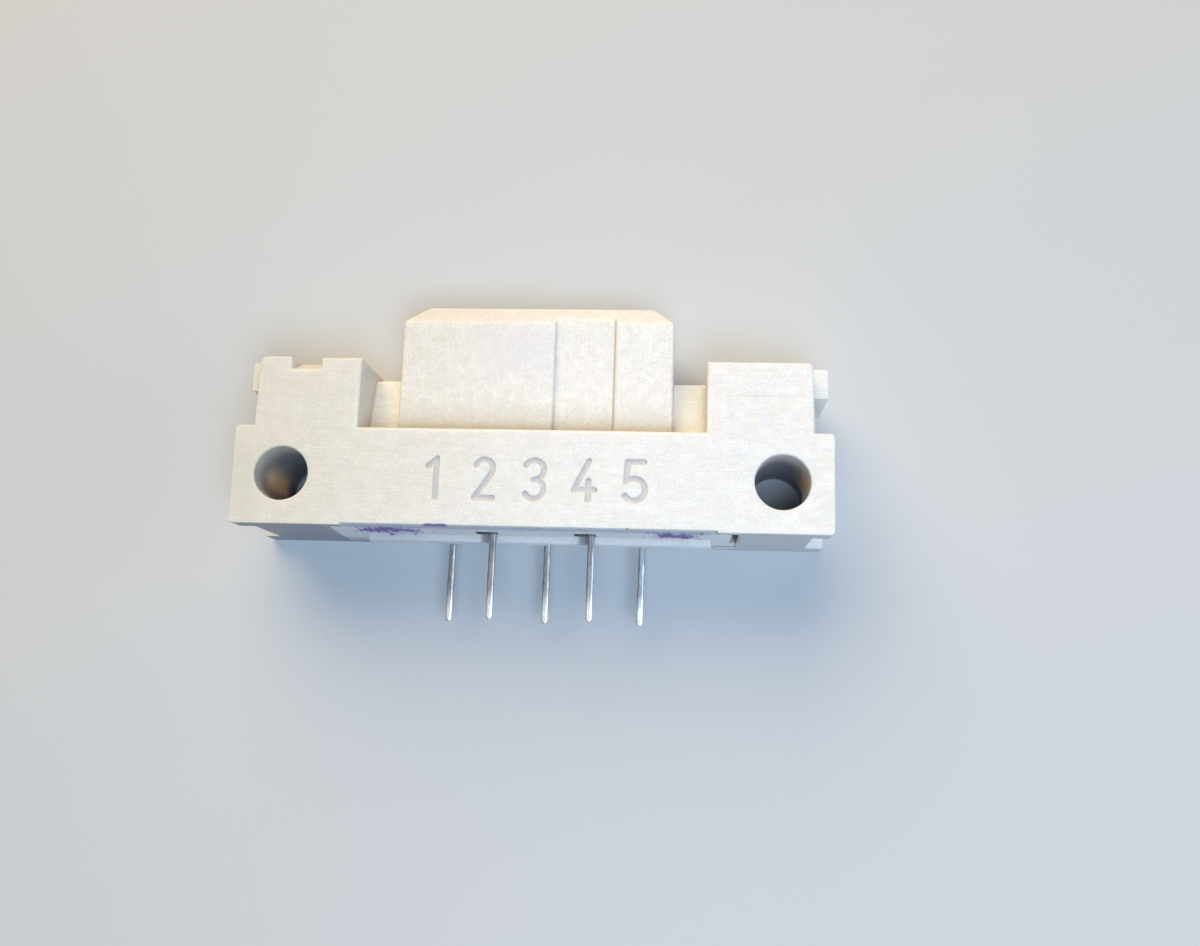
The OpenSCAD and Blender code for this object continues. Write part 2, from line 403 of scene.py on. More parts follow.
class EdgeMask(EffectGroup):
    """Mask of the outer edges, from the difference between a rounded and the true normal."""

    title = "edge_mask"
    takes = {"Radius": "NodeSocketFloat"}
    gives = {"Mask": "NodeSocketFloat"}
    samples: ClassVar[int] = 6
    match_band: ClassVar[Pair] = (0.97, 0.75)

    def wire(self, sheet: NodeSheet, source: Node) -> dict[str, NodeSocket]:
        """Compares the rounded normal with the true one.

        Args:
            sheet: The group's sheet.
            source: Its input node.

        Returns:
            The socket for each output, by name.
        """
        radius = source.outputs["Radius"]
        rounded = sheet.add("ShaderNodeBevel", {"samples": self.samples}, {"Radius": radius})
        true = sheet.add("ShaderNodeNewGeometry")
        match = sheet.vector("DOT_PRODUCT", rounded.outputs["Normal"], true.outputs["Normal"])
        return {"Mask": sheet.ramp(match.outputs["Value"], *self.match_band)}


class PatchMask(EffectGroup):
    """Mask of a box with ragged soft sides, for ink, smudges, tool marks, painted shade and painted light.
    """

    title = "patch_mask"
    takes = {
        "Centre": "NodeSocketVector", "Half Size": "NodeSocketVector", "Soft": "NodeSocketVector",
        "Ragged": "NodeSocketFloat", "Noise Scale": "NodeSocketFloat", "Stretch": "NodeSocketVector",
    }
    gives = {"Mask": "NodeSocketFloat"}
    fray_detail: ClassVar[Pair] = (4.0, 0.65)

    def wire(self, sheet: NodeSheet, source: Node) -> dict[str, NodeSocket]:
        """Measures how far the point is inside the box and frays the border.

        Args:
            sheet: The group's sheet.
            source: Its input node.

        Returns:
            The socket for each output, by name.
        """
        coords = sheet.place()
        offset = sheet.vector("SUBTRACT", coords, source.outputs["Centre"]).outputs[0]
        away = sheet.vector("ABSOLUTE", offset, (0.0, 0.0, 0.0)).outputs[0]
        share = sheet.vector("DIVIDE", away, source.outputs["Half Size"]).outputs[0]
        grid = sheet.vector("MULTIPLY", coords, source.outputs["Stretch"]).outputs[0]
        fray = sheet.noise(grid, source.outputs["Noise Scale"], *self.fray_detail)
        fray = sheet.math("SUBTRACT", fray, NOISE_MIDDLE)
        fray = sheet.math("MULTIPLY", fray, source.outputs["Ragged"])
        reach = sheet.vector("ADD", share, fray).outputs[0]
        core = sheet.vector("SUBTRACT", (1.0, 1.0, 1.0), source.outputs["Soft"]).outputs[0]
        mask: Input = 1.0
        for far, full in zip(sheet.split(reach), sheet.split(core)):
            mask = sheet.math("MULTIPLY", mask, sheet.ramp(far, 1.0, full))
        return {"Mask": mask}


@dataclass(frozen=True)
class Patch:
    """A marked area of a surface, in millimetres, with the soft share of each side."""

    centre: Triple
    half: Triple
    ragged: float = 1.0
    noise_mm: float = 0.2
    soft: Triple = (0.2, 0.2, 0.2)
    stretch: Triple = (1.0, 1.0, 1.0)

    def mask(self, sheet: NodeSheet) -> NodeSocket:
        """Places the patch in a material.

        Args:
            sheet: The material's sheet.

        Returns:
            The patch's mask.
        """
        node = PatchMask().put(
            sheet, Centre=tuple(c * MM for c in self.centre),
            Half_Size=tuple(h * MM for h in self.half), Soft=self.soft,
            Ragged=self.ragged, Noise_Scale=1 / (self.noise_mm * MM), Stretch=self.stretch,
        )
        return node.outputs["Mask"]


@dataclass(frozen=True)
class Stain:
    """Patches that share one colour."""

    patches: tuple[Patch, ...]
    colour: Colour
    strength: float

    def lay(self, sheet: NodeSheet, colour: Input) -> NodeSocket:
        """Lays the stain over a colour.

        Args:
            sheet: The material's sheet.
            colour: The colour under it.

        Returns:
            The stained colour.
        """
        for patch in self.patches:
            amount = sheet.math("MULTIPLY", patch.mask(sheet), self.strength)
            colour = sheet.blend(amount, colour, self.colour)
        return colour


@dataclass(frozen=True)
class Finish(ABC):
    """A surface finish, built as a material when a piece first needs it."""

    title: str

    def material(self) -> Material:
        """Finds the finish's material, or builds it.

        Returns:
            The material.
        """
        found = bpy.data.materials.get(self.title)
        if found:
            return found
        material = bpy.data.materials.new(self.title)
        material.use_nodes = True
        self.wire(NodeSheet(material.node_tree), material.node_tree.nodes["Principled BSDF"])
        return material

    @abstractmethod
    def wire(self, sheet: NodeSheet, shader: Node) -> None:
        """Wires the material's nodes.

        Args:
            sheet: The material's sheet.
            shader: Its surface shader.
        """


@dataclass(frozen=True)
class MouldedPlastic(Finish):
    """Finish of a moulded plastic piece."""

    body: Colour
    shade: Colour
    speck: Colour
    # Lighter colour of the outer edges, partly wear and partly painted highlight.
    edge: Colour
    # Colour of the painted shade in inner corners and recesses.
    corner: Colour
    # Colour multiplied in towards the left end: painted light falloff.
    painted_falloff: Colour
    painted_falloff_x_mm: Pair = (-16.0, 0.0)
    roughness: Pair = (0.44, 0.6)
    rough_band: Pair = (0.3, 0.7)
    cloud_mm: float = 1.6
    cloud_band: Pair = (0.35, 0.65)
    grain_mm: float = 0.1
    grain_tone: float = 0.085
    grain_band: Pair = (0.25, 0.75)
    speck_share: float = 0.4
    skin_mm: float = 0.012
    skin_strength: float = 0.6
    edge_mm: float = 0.12
    edge_share: float = 0.55
    corner_mm: float = 1.5
    corner_share: float = 0.75
    streak_mm: float = 0.09
    streak_tone: float = 0.03
    streak_band: Pair = (0.3, 0.7)
    streak_height: float = 0.15
    brush: float = 0.08
    scratch_mm: Pair = (0.5, 0.35)
    scratch_turn: Pair = (0.9, -0.7)
    scratch_share: float = 0.3
    scratch_depth: float = 0.4
    upright: tuple[Patch, ...] = ()
    stains: tuple[Stain, ...] = ()
    milky: float = 0.0
    milky_mm: float = 0.5
    milky_reach: Triple = (1.0, 0.65, 0.4)
    lined: tuple[Patch, ...] = ()
    line_mm: float = 0.11
    line_height: float = 2.0
    drift_mm: float = 1.5
    drift_turns: float = 3.0

    def wire(self, sheet: NodeSheet, shader: Node) -> None:
        """Lays grain, scratches, edge wear with painted highlight, painted corner shade, painted light
        falloff and stains, some of them painted shade and some painted light, over the plastic's colour.

        Args:
            sheet: The material's sheet.
            shader: Its surface shader.
        """
        shader.inputs["Subsurface Weight"].default_value = self.milky
        shader.inputs["Subsurface Radius"].default_value = self.milky_reach
        shader.inputs["Subsurface Scale"].default_value = self.milky_mm * MM
        grain = MouldedGrain().put(
            sheet, Cloud_Scale=1 / (self.cloud_mm * MM), Grain_Scale=1 / (self.grain_mm * MM),
        )
        streak, scratch = self.brushing(sheet)
        cloud = sheet.ramp(grain.outputs["Cloud"], *self.cloud_band)
        colour = sheet.blend(cloud, self.body, self.shade)
        # Painted light falloff: the colour is darkened towards the left end, where less light falls.
        along = sheet.split(sheet.place())[0]
        falloff_share = sheet.ramp(along, self.painted_falloff_x_mm[0] * MM, self.painted_falloff_x_mm[1] * MM, 1.0, 0.0)
        colour = sheet.blend(falloff_share, colour, self.painted_falloff, "MULTIPLY")
        specks = sheet.math("MULTIPLY", grain.outputs["Speck"], self.speck_share)
        colour = sheet.blend(specks, colour, self.speck)
        tone = self.swing(sheet, grain.outputs["Grain"], self.grain_band, self.grain_tone)
        tone = sheet.math("MULTIPLY", tone, self.swing(sheet, streak, self.streak_band, self.streak_tone))
        colour = sheet.blend(1.0, colour, tone, "MULTIPLY")
        colour = sheet.blend(sheet.math("MULTIPLY", scratch, self.scratch_share), colour, self.speck)
        corner = CornerShade().put(sheet, Reach=self.corner_mm * MM).outputs["Mask"]
        # Outer edges are lightened towards the edge colour, partly as wear and partly as painted highlight;
        # inner corners are left out.
        edge = EdgeMask().put(sheet, Radius=self.edge_mm * MM).outputs["Mask"]
        edge = sheet.math("MULTIPLY", edge, sheet.math("SUBTRACT", 1.0, corner))
        colour = sheet.blend(sheet.math("MULTIPLY", edge, self.edge_share), colour, self.edge)
        # Painted shade: inner corners and recesses are darkened towards the corner colour.
        painted_shade_amount = sheet.math("MULTIPLY", corner, self.corner_share)
        colour = sheet.blend(painted_shade_amount, colour, self.corner, "MULTIPLY")
        for stain in self.stains:
            colour = stain.lay(sheet, colour)
        sheet.feed(shader.inputs["Base Color"], colour)
        rough = sheet.ramp(grain.outputs["Grain"], *self.rough_band, *self.roughness)
        sheet.feed(shader.inputs["Roughness"], rough)
        ridges = sheet.math("MULTIPLY", streak, self.streak_height)
        height = sheet.math("ADD", grain.outputs["Grain"], ridges)
        height = sheet.math("SUBTRACT", height, sheet.math("MULTIPLY", scratch, self.scratch_depth))
        height = sheet.math("ADD", height, sheet.math("MULTIPLY", self.tool_lines(sheet), self.line_height))
        bump = sheet.add(
            "ShaderNodeBump", None,
            {"Strength": self.skin_strength, "Distance": self.skin_mm * MM, "Height": height},
        )
        sheet.feed(shader.inputs["Normal"], bump.outputs["Normal"])

    @staticmethod
    def swing(sheet: NodeSheet, value: Input, band: Pair, amount: float) -> NodeSocket:
        """Turns a value, over the band that counts, into a tone that swings about 1."""
        return sheet.ramp(value, *band, 1.0 - amount, 1.0 + amount)

    def brushing(self, sheet: NodeSheet) -> tuple[NodeSocket, NodeSocket]:
        """Gives the brushed streaks, which stand upright on the upright areas, and the scratches.

        Args:
            sheet: The material's sheet.

        Returns:
            The streak value and the scratch mask.
        """
        lying = BrushedSkin().put(
            sheet, Stretch=(self.brush, 1.0, 1.0), Streak_Scale=1 / (self.streak_mm * MM),
            Scratch_Turn=(0.0, 0.0, self.scratch_turn[0]), Scratch_Scale=1 / (self.scratch_mm[0] * MM),
        )
        streak: NodeSocket = lying.outputs["Streak"]
        scratch: NodeSocket = lying.outputs["Scratch"]
        if not self.upright:
            return streak, scratch
        standing = BrushedSkin().put(
            sheet, Stretch=(1.0, self.brush, 1.0), Streak_Scale=1 / (self.streak_mm * MM),
            Scratch_Turn=(0.0, 0.0, self.scratch_turn[1]), Scratch_Scale=1 / (self.scratch_mm[1] * MM),
        )
        for patch in self.upright:
            share = patch.mask(sheet)
            streak = sheet.mix_value(share, streak, standing.outputs["Streak"])
            scratch = sheet.mix_value(share, scratch, standing.outputs["Scratch"])
        return streak, scratch

    def tool_lines(self, sheet: NodeSheet) -> NodeSocket:
        """Gives the fine cutter lines on the lined areas.

        Args:
            sheet: The material's sheet.

        Returns:
            The height of the lines.
        """
        coords = sheet.place()
        drift = sheet.noise(coords, 1 / (self.drift_mm * MM))
        turns = sheet.math("DIVIDE", sheet.split(coords)[1], self.line_mm * MM)
        turns = sheet.math("ADD", turns, sheet.math("MULTIPLY", drift, self.drift_turns))
        wave = sheet.math("SINE", sheet.math("MULTIPLY", turns, math.tau))
        total: Input = 0.0
        for patch in self.lined:
            total = sheet.math("MAXIMUM", total, patch.mask(sheet))
        return sheet.math("MULTIPLY", wave, total)


@dataclass(frozen=True)
class TinnedMetal(Finish):
    """Finish of the tin-plated contacts."""

    bright: Colour
    dull: Colour
    warm: Colour
    tip: Colour
    roughness: Pair = (0.22, 0.44)
    rough_band: Pair = (0.3, 0.7)
    drawn: Triple = (1.0, 0.12, 1.0)
    streak_mm: float = 0.1
    streak_detail: Pair = (4.0, 0.6)
    streak_band: Pair = (0.35, 0.65)
    cloud_mm: float = 1.0
    cloud_detail: float = 3.0
    cloud_band: Pair = (0.5, 0.75)
    warm_share: float = 0.6
    skin_mm: float = 0.006
    skin_strength: float = 0.35
    tip_y_mm: Pair = (-5.0, -6.4)
    tip_roughness: float = 0.34
    bead_mm: float = 0.35
    bead_height: float = 16.0

    def wire(self, sheet: NodeSheet, shader: Node) -> None:
        """Streaks the metal along the tail and leaves solder on its tip.

        Args:
            sheet: The material's sheet.
            shader: Its surface shader.
        """
        shader.inputs["Metallic"].default_value = 1.0
        coords = sheet.place()
        drawn = sheet.add("ShaderNodeMapping", None, {"Vector": coords, "Scale": self.drawn}).outputs[0]
        streak = sheet.noise(drawn, 1 / (self.streak_mm * MM), *self.streak_detail)
        cloud = sheet.noise(coords, 1 / (self.cloud_mm * MM), self.cloud_detail)
        tip = sheet.ramp(sheet.split(coords)[1], self.tip_y_mm[0] * MM, self.tip_y_mm[1] * MM)
        colour = sheet.blend(sheet.ramp(streak, *self.streak_band), self.bright, self.dull)
        warmth = sheet.ramp(cloud, *self.cloud_band, 0.0, self.warm_share)
        colour = sheet.blend(warmth, colour, self.warm)
        sheet.feed(shader.inputs["Base Color"], sheet.blend(tip, colour, self.tip))
        rough = sheet.ramp(streak, *self.rough_band, *self.roughness)
        sheet.feed(shader.inputs["Roughness"], sheet.mix_value(tip, rough, self.tip_roughness))
        bead = sheet.math("MULTIPLY", sheet.noise(coords, 1 / (self.bead_mm * MM)), self.bead_height)
        height = sheet.math("ADD", sheet.math("ADD", streak, cloud), sheet.math("MULTIPLY", tip, bead))
        bump = sheet.add(
            "ShaderNodeBump", None,
            {"Strength": self.skin_strength, "Distance": self.skin_mm * MM, "Height": height},
        )
        sheet.feed(shader.inputs["Normal"], bump.outputs["Normal"])


@dataclass(frozen=True)
class FloorPaint(Finish):
    """Finish of the pale floor."""

    colour: Colour
    roughness: float = 0.75

    def wire(self, sheet: NodeSheet, shader: Node) -> None:
        """Gives the floor one colour and roughness."""
        sheet.feed(shader.inputs["Base Color"], self.colour)
        sheet.feed(shader.inputs["Roughness"], self.roughness)


@dataclass
class CadPiece:
    """A piece that is made from a copy of a CAD node, with its edges softened."""

    node: str
    slot: Slot
    finish: Finish
    edge_mm: float = 0.06
    edge_steps: int = 3
    sharp_deg: float = 28.0
    smooth_deg: float = 36.0
    turn_deg: float = 35.0
    shortest_mm: float = 0.0
    merge_mm: float = 0.0005
    flat_deg: float = 0.6
    piece: Object = field(init=False)

    def build(self) -> Object:
        """Makes the piece, dresses it and hands it to the frame.

        Returns:
            The piece.
        """
        self.copy_node()
        self.shape()
        self.soften()
        self.smooth()
        self.piece.data.materials.clear()
        self.piece.data.materials.append(self.finish.material())
        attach(self.piece, BODY)
        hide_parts(self.node)
        return self.piece

    def copy_node(self) -> None:
        """Copies the node's mesh, merges its loose triangles and joins flat faces."""
        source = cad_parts[self.node]
        self.piece = bpy.data.objects.new(f"{self.node}_dressed", source.data.copy())
        bpy.context.scene.collection.objects.link(self.piece)
        pick(self.piece)
        bpy.ops.mesh.customdata_custom_splitnormals_clear()
        bpy.ops.object.mode_set(mode="EDIT")
        bpy.ops.mesh.select_all(action="SELECT")
        bpy.ops.mesh.remove_doubles(threshold=self.merge_mm * MM)
        bpy.ops.mesh.dissolve_limited(angle_limit=math.radians(self.flat_deg))
        bpy.ops.object.mode_set(mode="OBJECT")

    @property
    def widest_mm(self) -> float:
        """Widest rounding of the piece's edges."""
        return self.edge_mm

    def edge_size(self, middle: Vector) -> float:
        """Gives the rounding of an edge from its middle point, 0 for one that stays sharp."""
        return self.edge_mm

    def edge_runs(self, mesh: BMesh) -> list[list[BMEdge]]:
        """Sorts the sharp outer edges into runs that have no corner.

        Args:
            mesh: The piece's mesh.

        Returns:
            The edges of each run.
        """
        limit = math.radians(self.sharp_deg)
        waiting = {
            edge: True for edge in mesh.edges
            if len(edge.link_faces) == 2 and edge.is_convex and edge.calc_face_angle() > limit
        }
        runs: list[list[BMEdge]] = []
        while waiting:
            run = [waiting.popitem()[0]]
            for edge in run:
                for joint in edge.verts:
                    ahead = joint.co - edge.other_vert(joint).co
                    for other in joint.link_edges:
                        onward = other.other_vert(joint).co - joint.co
                        if other in waiting and ahead.angle(onward) < math.radians(self.turn_deg):
                            del waiting[other]
                            run.append(other)
            runs.append(run)
        return runs

    @staticmethod
    def room(edge: BMEdge, sharp: set[BMEdge]) -> float:
        """Gives the widest rounding for which the faces beside an edge have room.

        Args:
            edge: The edge.
            sharp: All edges that are rounded.

        Returns:
            The rounding in metres.
        """
        widest = math.inf
        for joint in edge.verts:
            back = edge.other_vert(joint).co - joint.co
            for other in joint.link_edges:
                beside = set(other.link_faces) & set(edge.link_faces)
                aside = other.other_vert(joint).co - joint.co
                if other not in sharp and beside and back.dot(aside) > 0.0:
                    widest = min(widest, back.cross(aside).length / back.length)
        return widest

    def soften(self) -> None:
        """Rounds the piece's sharp outer edges, each run by one size."""
        mesh = bmesh.new()
        mesh.from_mesh(self.piece.data)
        mesh.normal_update()
        weight = mesh.edges.layers.float.new(EDGE_WEIGHT)
        runs = self.edge_runs(mesh)
        sharp = {edge for run in runs for edge in run}
        for run in runs:
            longest = max(run, key=BMEdge.calc_length)
            size = self.edge_size((longest.verts[0].co + longest.verts[1].co) / 2)
            lasting = sum(edge.calc_length() for edge in run) > self.shortest_mm * MM
            if lasting and min(self.room(edge, sharp) for edge in run) > size * MM:
                for edge in run:
                    edge[weight] = size / self.widest_mm
        mesh.to_mesh(self.piece.data)
        mesh.free()
        pick(self.piece)
        bpy.ops.object.modifier_add(type="BEVEL")
        bevel = self.piece.modifiers[-1]
        bevel.limit_method = "WEIGHT"
        bevel.width = self.widest_mm * MM
        bevel.segments = self.edge_steps
        bevel.loop_slide = False
        bpy.ops.object.modifier_apply(modifier=bevel.name)
        self.piece.data.attributes.remove(self.piece.data.attributes[EDGE_WEIGHT])

    def shape(self) -> None:
        """Adds what is particular to the piece."""

    def smooth(self) -> None:
        """Shades the rounded edges smooth and keeps the flat faces flat."""
        pick(self.piece)
        bpy.ops.object.shade_smooth_by_angle(angle=math.radians(self.smooth_deg))
        bpy.ops.object.modifier_add(type="WEIGHTED_NORMAL")
        weighting = self.piece.modifiers[-1]
        weighting.keep_sharp = True
        bpy.ops.object.modifier_apply(modifier=weighting.name)


@dataclass(frozen=True)
class Line:
    """Straight move of a cutter."""

    length: float


@dataclass(frozen=True)
class Arc:
    """Round move of a cutter, left for a positive angle."""

    radius: float
    degrees: float


@dataclass(frozen=True)
class Stroke:
    """One pass of a cutter, from a start point and heading."""

    start: Pair
    heading: float
    moves: tuple[Line | Arc, ...]


@dataclass
class NumberCutter:
    """Round-nosed cutter that makes the contact numbers of the front face.

    A number stands on its base line at X 0, with sizes in millimetres.
    """

    height: float = 1.93
    bowl: float = 0.44
    belly: float = 0.55
    hook_deg: float = 150.0
    width: float = 0.34
    depth: float = 0.13
    sides: int = 16
    arc_step_deg: float = 15.0
    overlap: float = 1.02

    def strokes(self, digit: Digit) -> tuple[Stroke, ...]:
        """Gives the passes that draw one number.

        Args:
            digit: The number.

        Returns:
            Its strokes.
        """
        top, bowl, lobe = self.height, self.bowl, self.height / 4
        hook = math.radians(self.hook_deg)
        drawings: dict[Digit, tuple[Stroke, ...]] = {
            Digit.ONE: (
                Stroke((0.1, 0.0), 90, (Line(top),)),
                Stroke((0.1, top), 222, (Line(0.55),)),
            ),
            Digit.TWO: (
                Stroke((-bowl, 0.0), 57, (Line(1.49), Arc(bowl, 190))),
                Stroke((-bowl, 0.0), 0, (Line(2 * bowl),)),
            ),
            Digit.THREE: (
                Stroke((lobe * math.cos(hook), 3 * lobe + lobe * math.sin(hook)), 60, (Arc(lobe, -240),)),
                Stroke((0.0, 2 * lobe), 0, (Arc(lobe, -240),)),
            ),
            Digit.FOUR: (
                Stroke((0.2, top), 244, (Line(1.6),)),
                Stroke((-0.5, 0.5), 0, (Line(1.0),)),
                Stroke((0.2, 0.95), 270, (Line(0.95),)),
            ),
            Digit.FIVE: (
                Stroke((0.42, top), 180, (Line(0.8),)),
                Stroke((-0.38, top), 266.5, (Line(0.99),)),
                Stroke((-0.44, 0.94), 45, (Arc(self.belly, -280),)),
            ),
        }
        return drawings[digit]

    @property
    def nose(self) -> float:
        """Radius of the cutter's round nose."""
        return ((self.width / 2) ** 2 + self.depth ** 2) / (2 * self.depth)

    def cut(self, piece: Object, spots: dict[Digit, Pair], face_z: float) -> None:
        """Cuts the numbers into a piece.

        Args:
            piece: The piece to cut.
            spots: Middle of each number, in millimetres.
            face_z: Height of the face, in millimetres.
        """
        level = face_z + self.nose - self.depth
        passes: list[Object] = []
        for digit, (x, y) in spots.items():
            for stroke in self.strokes(digit):
                passes += self.sweep(stroke, Vector((x, y - self.height / 2, level)))
        pick(*passes)
        bpy.ops.object.join()
        cutter = bpy.context.object
        pick(piece)
        bpy.ops.object.modifier_add(type="BOOLEAN")
        boolean = piece.modifiers[-1]
        boolean.operation = "DIFFERENCE"
        boolean.solver = "EXACT"
        boolean.use_self = True
        boolean.object = cutter
        bpy.ops.object.modifier_apply(modifier=boolean.name)
        bpy.data.objects.remove(cutter)

    def sweep(self, stroke: Stroke, origin: Vector) -> list[Object]:
        """Sweeps the nose along one stroke, with a ball at each end.

        Args:
            stroke: The stroke.
            origin: Where the number's base line is, in millimetres.

        Returns:
            The swept tube and its end balls.
        """
        spot = origin + Vector((*stroke.start, 0.0))
        heading = math.radians(stroke.heading)
        balls = [self.ball(spot)]
        pick()
        bpy.ops.mesh.primitive_circle_add(
            vertices=self.sides, radius=self.nose * MM, location=spot * MM,
            rotation=(math.pi / 2, 0.0, heading + math.pi / 2),
        )
        tube = bpy.context.object
        bpy.ops.object.transform_apply(location=True, rotation=True, scale=True)
        bpy.ops.object.mode_set(mode="EDIT")
        for move in stroke.moves:
            if isinstance(move, Line):
                step = Vector((math.cos(heading), math.sin(heading), 0.0)) * move.length
                bpy.ops.mesh.extrude_region_move(TRANSFORM_OT_translate={"value": step * MM})
                spot = spot + step
            else:
                side = math.copysign(1.0, move.degrees)
                aside = Vector((-math.sin(heading), math.cos(heading), 0.0)) * side * move.radius
                hub = spot + aside
                turn = math.radians(move.degrees)
                steps = max(2, round(abs(move.degrees) / self.arc_step_deg))
                bpy.ops.mesh.spin(steps=steps, angle=-turn, center=hub * MM, axis=(0.0, 0.0, 1.0))
                heading += turn
                spot = hub + Matrix.Rotation(turn, 3, "Z") @ -aside
        bpy.ops.mesh.select_all(action="SELECT")
        bpy.ops.mesh.fill_holes(sides=0)
        bpy.ops.mesh.normals_make_consistent(inside=False)
        bpy.ops.object.mode_set(mode="OBJECT")
        balls.append(self.ball(spot))
        return [tube, *balls]

    def ball(self, spot: Vector) -> Object:
        """Adds the round end of a stroke.

        Args:
            spot: Its middle, in millimetres.

        Returns:
            The ball.
        """
        pick()
        bpy.ops.mesh.primitive_uv_sphere_add(
            segments=self.sides, ring_count=self.sides // 2, radius=self.nose * self.overlap * MM,
            location=spot * MM,
        )
        bpy.ops.object.transform_apply(location=True, rotation=True, scale=True)
        return bpy.context.object


@dataclass
class Housing(CadPiece):
    """Moulded housing with its keyed tongue, towers and mounting holes."""

    edge_mm: float = 0.045
    hole_spacing: float = 25.0
    hole_r: float = 1.6
    crest_mm: float = 0.18
    crest_x: float = 14.0
    crest_y: float = 2.3
    crest_z: float = 0.85
    mouth_y: float = 9.5
    number_y: float = -0.1
    cutter: NumberCutter = field(default_factory=NumberCutter)

    @property
    def widest_mm(self) -> float:
        """Widest rounding of the housing's edges."""
        return max(self.edge_mm, self.crest_mm)

    def edge_size(self, middle: Vector) -> float:
        """Rounds the outer edges of the mating side more, and keeps those of holes, mouths and numbers.

        Args:
            middle: Middle point of the edge, in metres.

        Returns:
            The rounding in millimetres.
        """
        x, y, z = abs(middle.x) / MM, middle.y / MM, middle.z / MM
        low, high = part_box(self.node)
        across = abs(z - (low.z + high.z) / 2 / MM)
        hole = math.hypot(x - self.hole_spacing / 2, y) < self.hole_r
        mouth = y > self.mouth_y and across < self.crest_z
        number = x < self.hole_spacing / 2 - self.hole_r and abs(y - self.number_y) < self.cutter.height
        if hole or mouth or number:
            return 0.0
        crest = x < self.crest_x and y > self.crest_y and across > self.crest_z
        return self.crest_mm if crest else self.edge_mm

    def shape(self) -> None:
        """Cuts the contact numbers over the contacts."""
        spots: dict[Digit, Pair] = {}
        for digit in Digit:
            low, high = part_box(f"contact_{digit.value}")
            spots[digit] = ((low.x + high.x) / 2 / MM, self.number_y)
        self.cutter.cut(self.piece, spots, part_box(self.node)[1].z / MM)


@dataclass
class ContactBase(CadPiece):
    """Ribbed base that holds the contacts in the underside of the housing."""

    edge_mm: float = 0.04
    shortest_mm: float = 0.4


@dataclass
class Contact(CadPiece):
    """Formed contact with a slightly bent tail."""

    edge_mm: float = 0.1
    edge_steps: int = 4
    lean_deg: float = 0.0
    bend_y_mm: float = -3.3

    def shape(self) -> None:
        """Leans the tail below the board face by a hair."""
        pick(self.piece)
        low = min(v.co.y for v in self.piece.data.vertices)
        bpy.ops.object.mode_set(mode="EDIT")
        bpy.ops.mesh.select_mode(type="VERT")
        bpy.ops.mesh.select_all(action="DESELECT")
        mesh = bmesh.from_edit_mesh(self.piece.data)
        for vert in mesh.verts:
            vert.select = vert.co.y < self.bend_y_mm * MM
        bmesh.update_edit_mesh(self.piece.data)
        shift = math.tan(math.radians(self.lean_deg)) * (self.bend_y_mm * MM - low)
        bpy.ops.transform.translate(value=(shift, 0.0, 0.0))
        bpy.ops.object.mode_set(mode="OBJECT")


@dataclass(frozen=True)
class SoftLamp:
    """A square soft box."""

    title: str
    place_mm: Triple
    size_mm: float
    watts: float
    colour: Triple

    def build(self, aim: Vector) -> Object:
        """Hangs the lamp so that it looks at a point.

        Args:
            aim: The point, in metres.

        Returns:
            The lamp.
        """
        pick()
        spot = millimetres(*self.place_mm)
        turn = (aim - spot).to_track_quat("-Z", "Y").to_euler()
        bpy.ops.object.light_add(type="AREA", location=spot, rotation=turn)
        lamp = bpy.context.object
        lamp.name = self.title
        lamp.data.shape = "SQUARE"
        lamp.data.size = self.size_mm * MM
        lamp.data.energy = self.watts
        lamp.data.color = self.colour
        return lamp


@dataclass
class Studio:
    """Pale floor, soft lamps and even sky around the part."""

    lamps: tuple[SoftLamp, ...]
    floor_finish: FloorPaint
    sky: Triple
    sky_level: float
    shown_left: float = 0.2
    shown_right: float = 1.4
    shown_band: Pair = (0.1, 0.7)
    floor_mm: float = 1600.0

    def build(self) -> None:
        """Lays the floor, hangs the lamps and sets the sky."""
        pick()
        bpy.ops.mesh.primitive_plane_add(size=self.floor_mm * MM)
        floor = bpy.context.object
        floor.name = "floor"
        floor.data.materials.append(self.floor_finish.material())
        low, high = cad_box
        aim = (Vector(low) + Vector(high)) / 2
        for lamp in self.lamps:
            lamp.build(aim)
        world = bpy.data.worlds.new("studio_sky")
        world.use_nodes = True
        sheet = NodeSheet(world.node_tree)
        back = world.node_tree.nodes["Background"]
        sheet.feed(back.inputs["Color"], (*self.sky, 1.0))
        path = sheet.add("ShaderNodeLightPath")
        seen = sheet.math("MAXIMUM", path.outputs["Is Camera Ray"], path.outputs["Is Glossy Ray"])
        seen = sheet.math("MAXIMUM", seen, path.outputs["Is Transmission Ray"])
        side = sheet.split(sheet.add("ShaderNodeTexCoord").outputs["Generated"])[0]
        shown = sheet.ramp(side, *self.shown_band, self.shown_left, self.shown_right)
        sheet.feed(back.inputs["Strength"], sheet.mix_value(seen, self.sky_level, shown))
        bpy.context.scene.world = world


